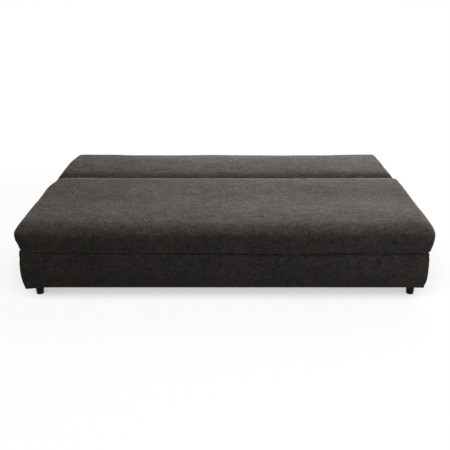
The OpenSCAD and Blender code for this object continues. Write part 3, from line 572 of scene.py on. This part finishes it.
def settled(x, y, z, pad, closed):
    """The panel's points with the lie of years of use: long edges bowed out, the widest line higher at
    the front and ends, the top rolling off towards the front and humped beside the hinge gap, and
    the ends fuller here and drawn in there. Places are in metres. An open skin's rim also lies up
    on the rail between the corners of its hinge edge."""
    s, seat = pad.s, pad.body == "seat"
    u, v = x / pad.half_w, 2 * (y - (pad.free_y + pad.gap_y) / 2) / pad.depth * pad.toward
    above, off_seam = np.clip((z - pad.wide_z) / s.edge_rise, 0, 1), ease((z - pad.seam_z) / 0.05)
    away, left, right = np.abs(y - pad.gap_y), ease((-x - 0.7) / 0.3), ease((x - 0.7) / 0.3)
    ends = ease((np.abs(x) - 0.86) / 0.12) * (1 + left)
    front = ease((0.12 - np.abs(y - pad.free_y)) / 0.06) * seat
    z = z + s.belly * ease(away / 0.2) * np.maximum(ends, front) * bell((z - pad.wide_z) / 0.034)
    if seat:
        hump = s.hump * ease((0.5 - away) / 0.4) * ease(away / 0.12)
        z = z + (hump - s.roll * np.clip(1 - np.abs(y - pad.free_y) / 0.24, 0, 1) ** 2) * above
        x = x + off_seam * right * (s.right_fullness - s.right_dent * bell((y + 0.66) / 0.2))
        x = x + off_seam * left * s.left_draw * ease((y + 0.13) / 0.2)
        x = x + left * s.left_dent * bell((z - pad.wide_z + 0.038) / 0.02)
    else:
        drop = s.crown * ((y - 0.49) / 0.2) ** 2 * (1 - 0.4 * ease((np.abs(x) - 0.55) / 0.35))
        z = z + (s.crown_lift - drop - s.gap_drop * ease((0.1 - away) / 0.1)) * above
        x = x + off_seam * (right * s.right_fullness + left * s.left_rear_draw * ease((away - 0.25) / 0.3))
        x = x + off_seam * (right - left) * s.gap_spread * (1 - ease(away / 0.15))
    y = y - pad.toward * s.bow * (1 - u * u) * np.clip(-v, 0, 1)
    if not closed:
        share = ease((0.957 - np.abs(x)) / 0.02) * (np.abs(y - pad.gap_y) < 6 * MM) * (z < pad.wide_z)
        lift = (pad.wide_z - z) / (pad.wide_z - pad.seam_z) * (pad.rail_top + 0.6 * MM - pad.seam_z)
        z = z + share * lift
    return x, y, z


PUFF_FRAMES = 20


def puff(piece, held, pressure, cap, shrink):
    """Swells a piece with Blender's cloth. Held points are pinned, a shrink below zero lets the cloth
    grow, and the cap is the furthest that a point moves."""
    start = points_of(piece)
    group = piece.vertex_groups.new(name="held")
    group.add([int(k) for k in np.flatnonzero(held)], 1.0, "REPLACE")
    cloth = piece.modifiers.new("padding", "CLOTH")
    configure(cloth.settings, {
        "quality": 6, "mass": 0.35, "tension_stiffness": 12, "compression_stiffness": 12,
        "bending_stiffness": 1.5, "use_pressure": True, "uniform_pressure_force": pressure,
        "vertex_group_mass": "held", "shrink_min": shrink,
    })
    cloth.settings.effector_weights.gravity = 0
    cloth.collision_settings.use_collision = False
    scene = bpy.context.scene
    for step in range(PUFF_FRAMES):
        scene.frame_set(step + 1)
    activate(piece)
    bpy.ops.object.modifier_apply(modifier="padding")
    scene.frame_set(1)
    piece.vertex_groups.clear()
    moved = points_of(piece) - start
    reach = np.linalg.norm(moved, axis=1)
    moved *= (cap * np.tanh(reach / cap) / np.maximum(reach, 1e-9))[:, None]
    put_points(piece, start + moved)


SLAT_PITCH = 0.14  # from slat to slat, where the foam sinks between them
SEAM_FADE = 0.075  # height over which the seam's rise dies out, above it and below


def make_pad(pad):
    """One padded panel: its foam and its microfibre cover."""
    sizes = pad.s
    foam = pad_shell(f"{pad.body}_foam", pad, 2 * sizes.cell, inset=sizes.cover + 1.5 * MM, closed=True)
    points = points_of(foam)
    under = points[:, 2] < pad.rail_top + 1 * MM
    slat = np.cos(points[:, 0] / SLAT_PITCH * 2 * math.pi)
    inside = np.abs(points[:, 0]) < 0.9
    points[:, 2] += np.where(under, 0.6 * MM - np.where(inside, 2.2 * MM * ease(0.5 - slat), 0), 0)
    put_points(foam, points)
    refine(foam)
    finish_piece(foam, "foam", pad.body, pad.core, fill=0.9)

    cover = pad_shell(f"{pad.body}_cushion", pad, sizes.cell)
    points = points_of(cover)
    x, y, z = points.T
    held = (z < pad.seam_z + 10 * MM) | (np.abs(y - pad.gap_y) < 10 * MM)
    if pad.body == "seat":
        above = z - pad.seam_z
        rise = seam_rise(x, y) * (1 - ease(above / SEAM_FADE)) * ease(above / 0.004)
        points[:, 2] += rise + 0.25 * np.clip(seam_rise(x, y), 0, None) * (above < 2 * MM)
    put_points(cover, points)
    puff(cover, held, pressure=3.0, cap=2.5 * MM, shrink=-0.012)
    uneven(cover, pad)
    refine(cover)
    apply_modifier(cover, "SOLIDIFY", thickness=sizes.cover, offset=-1, use_even_offset=False)
    smooth(cover)
    finish_piece(cover, "cover_cloth", pad.body, pad.cover, fill=0.85)


def uneven(cover, pad):
    """Hand-laid wadding: broad soft waves on the faces, more of them along the rounded edges, small
    puckers along the seam, and none at the hinge gap."""
    points, normal = points_of(cover), normals_of(cover)
    x, y, z = points.T
    away = np.abs(y - pad.gap_y)
    free = ease((away - 8 * MM) / 0.10)
    rounding = bell((z - pad.wide_z - 0.042) / 0.022)
    seam = np.exp(-np.clip(z - pad.seam_z, 0, None) / 0.02) * (z < pad.wide_z)
    height = ripple(points, 260, 1, (1.2, 1, 1)) * pad.s.broad_wave
    height += ripple(points, 110, 2, (1.1, 1, 1)) * pad.s.middle_wave
    height += ripple(points, 170, 3, (1, 1, 3)) * pad.s.crest_wave * rounding
    height += ripple(points, 42, 4, (1, 1, 3)) * pad.s.pucker * seam
    put_points(cover, points + normal * (height * free)[:, None])


def finish_piece(piece, slot, body, *replaced, fill=None):
    """Gives a finished piece its slot's material and its body, and hides the imported parts that it
    replaces.
    """
    piece.data.materials.clear()
    piece.data.materials.append(MATERIALS[slot])
    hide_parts(*replaced)
    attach(piece, body)


# Padding of the bedding box


def wrap_columns(cell):
    """Stations round the box's front: point on the boards' outside, outward direction and the
    share of a corner's turn."""
    low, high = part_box("base_front_board")
    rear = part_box("base_rear_board")[1].y
    half, front = high.x, low.y
    run, across = round((rear - front) / cell), round(2 * half / cell)
    turn = 6
    columns = [((-half, rear + (front - rear) * k / run), (-1.0, 0.0), False) for k in range(run)]
    angles = np.linspace(0, math.pi / 2, turn + 1)
    columns += [((-half, front), (-math.cos(a), -math.sin(a)), True) for a in angles]
    columns += [((-half + 2 * half * k / across, front), (0.0, -1.0), False) for k in range(1, across)]
    columns += [((half, front), (math.sin(a), -math.cos(a)), True) for a in angles]
    columns += [((half, front + (rear - front) * k / run), (1.0, 0.0), False) for k in range(1, run + 1)]
    return columns


def wrap_section(s, foot, top):
    """The padding's section as a closed loop of distance out from the board and height: up the
    outside, in over the board's top, down its face and in under its foot."""
    full = foot + 0.096
    rows = []
    for z in top - 0.5 * MM - (top - 0.5 * MM - foot) * np.linspace(1, 0, 18) ** 1.25:
        if z < full:
            out = s.padding_full - (s.padding_full - s.padding_foot) * ((full - z) / (full - foot)) ** 2.6
        else:
            share, edge = (z - full) / (top + 2 * MM - full), np.clip((z - top + 8 * MM) / (8 * MM), 0, 1)
            out = s.padding_full - (s.padding_full - s.padding_seam) * share**2
            out -= 1.8 * s.rim_roll * (1 - math.sqrt(1 - edge**2))
        rows.append((out, z))
    # Hems over the board's top and under its foot: distance out and height in millimetres
    over = [(3, 1.5), (-2, 0), (-9, 0), (-16.5, 0), (-17.6, -0.8), (-16.5, -1.6), (-9, -1.6), (-1, -1.6),
            (0.4, -3)]
    rows += [(out * MM, top + 2 * MM + z * MM) for out, z in over]
    rows += [(0.4 * MM, foot + (top - foot) * k) for k in (0.75, 0.5, 0.25)]
    under = [(0.4, 0.4), (-1, -0.3), (-9, -0.3), (-16.5, -0.3), (-17.6, -0.8), (-16.5, -1.4), (-9, -1.4),
             (-1, -1.4), (1.6, -1.0), (2.8, -0.2)]
    rows += [(out * MM, foot + z * MM) for out, z in under]
    return rows


def box_shell(s, foot, top):
    """The section carried round the box, thinner at its corners and under the seam, its top edge
    following the seam and its hem drawn up between the corners."""
    columns, section = wrap_columns(s.cell), wrap_section(s, foot, top)
    nx, ny = len(columns) - 1, len(section)
    piece = begin("grid", "box_padding", x_subdivisions=nx, y_subdivisions=ny, size=1)
    raw = points_of(piece)
    i = np.round((raw[:, 0] + 0.5) * nx).astype(int)
    j = np.round((raw[:, 1] + 0.5) * ny).astype(int) % ny
    base = np.array([c[0] for c in columns])[i]
    away = np.array([c[1] for c in columns])[i]
    turning = np.array([c[2] for c in columns])[i]
    out, z = np.array(section)[j].T
    inward = np.stack([-np.sign(base[:, 0]), np.ones(len(i))], axis=1)
    flat = base + away * out[:, None]
    mitred = base + inward * np.abs(out)[:, None]
    plan = np.where((turning & (out < 0))[:, None], mitred, flat)
    x, y = plan.T
    shown = ease(out / 6.5 / MM)
    corner = bell(np.hypot(np.abs(x) - 0.985, y + 0.70) / 0.085)
    pull = np.where(x < 0, s.pull_left, s.pull_right) * corner * np.clip(out / s.padding_full, 0, 1) * shown
    hem = ease((foot + 0.03 - z) / 0.03) * (out > 0)
    pull += s.pull_foot * corner * hem * (x > 0) * shown
    pull += s.crease * ease((z - top + 10 * MM) / (10 * MM)) * (away[:, 1] < -0.99) * shown
    x, y = (plan - away * pull[:, None]).T
    rise = seam_rise(x, y) * shown * (1 - ease((top - z) / SEAM_FADE))
    hang = np.where(x < 0, s.sag_left, s.sag_right) * corner - s.hem_lift - s.hem_bow * bell(x / 0.6)
    put_points(piece, np.stack([x, y, z + rise - hang * hem], axis=1))
    bpy.ops.object.mode_set(mode="EDIT")
    weld(1e-5)
    select_rim()
    bpy.ops.mesh.edge_face_add()
    bpy.ops.mesh.select_all(action="SELECT")
    bpy.ops.mesh.normals_make_consistent(inside=False)
    bpy.ops.object.mode_set(mode="OBJECT")
    return piece


def make_box_padding(s):
    """The padded microfibre cover round the front and sides of the bedding box."""
    low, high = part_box("base_front_board")
    foot, top = low.z, high.z
    piece = box_shell(s, foot, top)
    points = points_of(piece)
    out = np.maximum(np.abs(points[:, 0]) - high.x, low.y - points[:, 1])
    mid = (out > 5 * MM) & (points[:, 2] > foot + 6 * MM) & (points[:, 2] < top - 6 * MM)
    puff(piece, ~mid, pressure=1.5, cap=3 * MM, shrink=-0.006)
    points, normal = points_of(piece), normals_of(piece)
    z = points[:, 2]
    loose = ease(out / 0.012)
    seam = np.exp(-np.clip(top - z, 0, None) / 0.02) + 0.7 * np.exp(-np.clip(z - foot, 0, None) / 0.014)
    height = ripple(points, 230, 11, (1.3, 1, 1)) * s.box_swell + ripple(points, 90, 12) * s.box_ripple
    height += ripple(points, 45, 13, (1, 1, 3)) * s.box_pucker * seam
    put_points(piece, points + normal * (height * loose)[:, None])
    refine(piece)
    sides = ("base_cover_front", "base_cover_left", "base_cover_right")
    finish_piece(piece, "cover_cloth", "base", *sides, fill=0.5)


# Legs and linings


def lathe(name, profile, x, y, steps=48):
    """A turned piece: a disc drawn up along a profile of radius and height in millimetres."""
    piece = begin("circle", name, vertices=steps, radius=profile[0][0] * MM, fill_type="NGON",
                  location=(x, y, profile[0][1] * MM))
    bpy.ops.object.mode_set(mode="EDIT")
    bpy.ops.mesh.select_all(action="SELECT")
    for (r0, z0), (r1, z1) in zip(profile, profile[1:]):
        bpy.ops.mesh.extrude_region_move(TRANSFORM_OT_translate={"value": (0, 0, (z1 - z0) * MM)})
        bpy.ops.transform.resize(value=(r1 / r0, r1 / r0, 1), center_override=(x, y, z1 * MM))
    weld(1e-6)
    bpy.ops.mesh.normals_make_consistent(inside=False)
    bpy.ops.object.mode_set(mode="OBJECT")
    smooth(piece, 35)
    return piece


# Share of the leg's radius and height in millimetres
LEG_PROFILE = [(0.64, 0), (0.72, 0.25), (0.76, 1.0), (0.775, 2.4), (0.785, 4.5), (0.87, 30), (0.955, 52),
               (0.965, 58.5), (0.985, 60.5), (1, 61.2), (1, 65.5), (0.98, 65.9), (0.6, 66)]


def make_legs(s):
    """Six moulded legs with a rounded foot and a flat collar under the box."""
    profile = [(share * s.leg_radius / MM, z) for share, z in LEG_PROFILE]
    for node in ("leg_front_left", "leg_front_right", "leg_rear_left", "leg_rear_right"):
        low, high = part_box(node)
        x = (low.x + high.x) / 2
        leg = lathe(f"moulded_{node}", profile, x + math.copysign(s.leg_shift, x), (low.y + high.y) / 2)
        finish_piece(leg, "black_plastic", "base", node)
    low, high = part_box("legs_centre")
    inset = (high.x - low.x) / 2
    places = (low.y + inset, high.y - inset)
    pair = [lathe(f"moulded_leg_centre_{k}", profile, 0, y) for k, y in enumerate(places)]
    for leg in pair:
        leg.select_set(True)
    activate(pair[0])
    bpy.ops.object.join()
    pair[0].name = "moulded_legs_centre"
    finish_piece(pair[0], "black_plastic", "base", "legs_centre")


LINING_CELL = 0.02


def make_lining(name, node, body, upright):
    """A stretched lining in the place of its node, stapled round its edges and slack between."""
    low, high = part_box(node)
    wide = high.x - low.x
    tall = (high.z - low.z) if upright else (high.y - low.y)
    nx, ny = round(wide / LINING_CELL), round(tall / LINING_CELL)
    piece = begin("grid", name, x_subdivisions=nx, y_subdivisions=ny, size=1)
    raw = points_of(piece)
    u, v = raw[:, 0] + 0.5, raw[:, 1] + 0.5
    edge = np.minimum(np.minimum(u, 1 - u) * wide, np.minimum(v, 1 - v) * tall)
    x = low.x + u * wide
    flat = np.stack([x, v * tall, 0 * x], axis=1)
    if upright:
        slack = ripple(flat, 60, 21) * 0.15 * MM * ease(edge / 0.03)
        points = np.stack([x, np.full_like(x, low.y) + 0.2 * MM + np.abs(slack), low.z + v * tall], axis=1)
    else:
        slack = 1.2 * MM * ease(edge / 0.12) + ripple(flat, 150, 22) * 0.5 * MM * ease(edge / 0.05)
        points = np.stack([x, low.y + v * tall, np.full_like(x, high.z) - 0.1 * MM - np.abs(slack)], axis=1)
    put_points(piece, points)
    if not upright:
        piece.data.flip_normals()
    apply_modifier(piece, "SOLIDIFY", thickness=0.6 * MM, offset=1)
    smooth(piece, 40)
    finish_piece(piece, "lining_cloth", body, node)


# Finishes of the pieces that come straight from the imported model


def finish_nodes():
    """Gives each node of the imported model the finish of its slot, with wood grain along its length."""
    for part in frame["record"]["subparts"]:
        node, slot = part["node"], part["material_slot"]
        low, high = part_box(node)
        kind = slot
        if slot == "beech":
            lengthwise = high.x - low.x > high.y - low.y and node != "cross_rails"
            kind = "slats" if "slats" in node else "beech_X" if lengthwise else "beech_Y"
        piece = NODES[node]
        piece.data.materials.clear()
        piece.data.materials.append(MATERIALS[kind])
        smooth(piece, 30)


MATERIALS = {}


def make_materials(colours):
    """Every material of the bed, by the name that the pieces ask for."""
    MATERIALS.update(
        cover_cloth=microfibre(colours),
        lining_cloth=spunbond(colours),
        foam=foam_felt(colours),
        slats=wood("bent_beech_slats", colours.beech, "Y", 3.0, plies=True),
        beech_X=wood("planed_beech_lengthwise", colours.beech, "X"),
        beech_Y=wood("planed_beech_crosswise", colours.beech, "Y"),
        board=chipboard(colours),
        hardboard=hardboard(colours),
        black_plastic=moulded_plastic(colours),
        black_steel=powder_coat(colours),
        zinc_steel=zinc_plate(colours),
    )


# Studio


def looked_at(tree):
    """1 for the rays that the picture sees, straight, mirrored or through glass, and 0 for the rest."""
    seen = 0.0
    for ray in ("Is Camera Ray", "Is Glossy Ray", "Is Transmission Ray"):
        this = add(tree, "ShaderNodeLightPath", out=ray)
        seen = add(tree, "ShaderNodeMath", {0: seen, 1: this}, operation="MAXIMUM")
    return seen


def add_lamp(kind, name, degrees, location=(0, 0, 0), **settings):
    """Adds a lamp turned by degrees about each axis, with the settings of its light."""
    bpy.ops.object.light_add(type=kind, location=location, rotation=[math.radians(t) for t in degrees])
    lamp = bpy.context.object
    lamp.name = name
    configure(lamp.data, settings)
    return lamp


def floor_paint():
    """White floor that glows for the rays that see it, with a painted shadow where the bed hides the studio
    in front of it and the glow is less, and gives the bed only a little light back."""
    paint = bpy.data.materials.new("white_floor_painted_shadow")
    paint.use_nodes = True
    tree = paint.node_tree
    tree.nodes.clear()
    # Painted shadow: occlusion about a normal tilted towards the front dims the floor's glow under and
    # beside the bed
    facing = add(tree, "ShaderNodeCombineXYZ", {"Y": -0.77, "Z": 0.64})
    near = {"Distance": 0.5, "Normal": facing}
    nearness = add(tree, "ShaderNodeAmbientOcclusion", near, out="AO", samples=16)
    painted_shadow_mask = add(tree, "ShaderNodeMath", {0: 1.0, 1: nearness}, operation="SUBTRACT")
    fall = {"Value": painted_shadow_mask, "From Min": 0.12, "To Min": 0.95, "To Max": 0.24}
    painted_shadow_glow = add(tree, "ShaderNodeMapRange", fall)
    lit = add(tree, "ShaderNodeAddShader", {
        0: add(tree, "ShaderNodeBsdfDiffuse", {"Color": (0.07, 0.07, 0.07)}),
        1: add(tree, "ShaderNodeEmission", {"Strength": painted_shadow_glow}),
    })
    dim = add(tree, "ShaderNodeBsdfDiffuse", {"Color": (0.14, 0.14, 0.14)})
    both = add(tree, "ShaderNodeMixShader", {0: looked_at(tree), 1: dim, 2: lit})
    add(tree, "ShaderNodeOutputMaterial", {"Surface": both})
    return paint


# The photograph's view: place, tilt below the horizon in degrees and lens in millimetres
CAMERA_PLACE, CAMERA_TILT, CAMERA_LENS = (0, -3.547, 1.445), 20.27, 52


def make_stage():
    """White floor with a painted shadow, white background, a wide low lamp behind, a cool soft one in
    front, a black flag that shades the left from behind, and the camera of the photograph's view."""
    scene = bpy.context.scene
    scene.view_settings.view_transform = "Standard"
    bpy.ops.object.select_all(action="DESELECT")
    tilt = math.radians(90 - CAMERA_TILT)
    bpy.ops.object.camera_add(location=CAMERA_PLACE, rotation=(tilt, 0, 0))
    camera = bpy.context.object
    camera.data.sensor_width, camera.data.lens, camera.data.clip_end = 36, CAMERA_LENS, 400
    scene.camera = camera
    floor = begin("plane", "studio_floor", size=300)
    floor.data.materials.append(floor_paint())
    scene.world = bpy.data.worlds.new("white_studio")
    scene.world.use_nodes = True
    tree = scene.world.node_tree
    tree.nodes.clear()
    strength = add(tree, "ShaderNodeMapRange", {"Value": looked_at(tree), "To Min": 0.11, "To Max": 1.0})
    back = add(tree, "ShaderNodeBackground", {"Color": (1, 1, 1), "Strength": strength})
    add(tree, "ShaderNodeOutputWorld", {"Surface": back})
    add_lamp("SUN", "window_behind", (-59, 0, -22), angle=math.radians(55), energy=3.95)
    softbox = add_lamp("AREA", "softbox_in_front", (67, 0, 32), location=(1.4, -2.7, 1.35),
                       size=1.6, energy=11, color=(0.8, 0.9, 1.0))
    softbox.visible_camera = False
    flag = begin("plane", "studio_flag", size=4, location=(-2.25, 2.2, 2.7), rotation=(math.pi / 2, 0, 0))
    flag.visible_camera = flag.visible_glossy = flag.visible_transmission = False
    black = bpy.data.materials.new("black_flag_cloth")
    black.use_nodes = True
    cloth = black.node_tree.nodes["Principled BSDF"]
    put(black.node_tree, cloth, {"Base Color": (0.01, 0.01, 0.01), "Roughness": 1.0})
    flag.data.materials.append(black)


# The add-on's operators, panel and registration


class SOFABED_OT_finishes(bpy.types.Operator):
    """Give the frame, fittings and boards their wood, steel and plastic finishes"""

    bl_idname = "sofabed.finishes"
    bl_label = "Finishes"

    def execute(self, context):
        make_materials(context.scene.sofa_bed_colours)
        finish_nodes()
        return {"FINISHED"}


class SOFABED_OT_seat_panel(bpy.types.Operator):
    """Pad and cover the seat panel"""

    bl_idname = "sofabed.seat_panel"
    bl_label = "Seat panel"

    def execute(self, context):
        make_pad(Pad("seat", 1, context.scene.sofa_bed_sizes))
        return {"FINISHED"}


class SOFABED_OT_back_panel(bpy.types.Operator):
    """Pad and cover the back panel"""

    bl_idname = "sofabed.back_panel"
    bl_label = "Back panel"

    def execute(self, context):
        make_pad(Pad("back", -1, context.scene.sofa_bed_sizes))
        return {"FINISHED"}


class SOFABED_OT_box_padding(bpy.types.Operator):
    """Pad and cover the bedding box"""

    bl_idname = "sofabed.box_padding"
    bl_label = "Box padding"

    def execute(self, context):
        make_box_padding(context.scene.sofa_bed_sizes)
        return {"FINISHED"}


class SOFABED_OT_legs(bpy.types.Operator):
    """Mould the six legs"""

    bl_idname = "sofabed.legs"
    bl_label = "Legs"

    def execute(self, context):
        make_legs(context.scene.sofa_bed_sizes)
        return {"FINISHED"}


class SOFABED_OT_linings(bpy.types.Operator):
    """Stretch the black linings on the back panel and the rear board"""

    bl_idname = "sofabed.linings"
    bl_label = "Linings"

    def execute(self, context):
        make_lining("back_panel_lining", "back_cloth", "back", False)
        make_lining("rear_board_lining", "base_rear_cloth", "base", True)
        return {"FINISHED"}


class SOFABED_OT_stage(bpy.types.Operator):
    """Set the white floor, the lamps, the black flag and the camera"""

    bl_idname = "sofabed.stage"
    bl_label = "Stage"

    def execute(self, context):
        make_stage()
        return {"FINISHED"}


STEPS = (
    SOFABED_OT_stage,
    SOFABED_OT_finishes,
    SOFABED_OT_seat_panel,
    SOFABED_OT_back_panel,
    SOFABED_OT_box_padding,
    SOFABED_OT_legs,
    SOFABED_OT_linings,
)


class SOFABED_PT_panel(bpy.types.Panel):
    bl_label = "Sofa bed"
    bl_idname = "SOFABED_PT_panel"
    bl_space_type = "VIEW_3D"
    bl_region_type = "UI"
    bl_category = "Sofa bed"

    def draw(self, context):
        for group in (context.scene.sofa_bed_sizes, context.scene.sofa_bed_colours):
            for key in group.__annotations__:
                self.layout.prop(group, key)
        for step in STEPS:
            self.layout.operator(step.bl_idname)


CLASSES = (SofaBedSizes, SofaBedColours, *STEPS, SOFABED_PT_panel)


def register():
    for c in CLASSES:
        bpy.utils.register_class(c)
    bpy.types.Scene.sofa_bed_sizes = bpy.props.PointerProperty(type=SofaBedSizes)
    bpy.types.Scene.sofa_bed_colours = bpy.props.PointerProperty(type=SofaBedColours)


def unregister():
    del bpy.types.Scene.sofa_bed_sizes, bpy.types.Scene.sofa_bed_colours
    for c in reversed(CLASSES):
        bpy.utils.unregister_class(c)


def main():
    """Runs every step."""
    register()
    for step in STEPS:
        group, call = step.bl_idname.split(".")
        getattr(getattr(bpy.ops, group), call)()


if __name__ == "__main__":
    main()
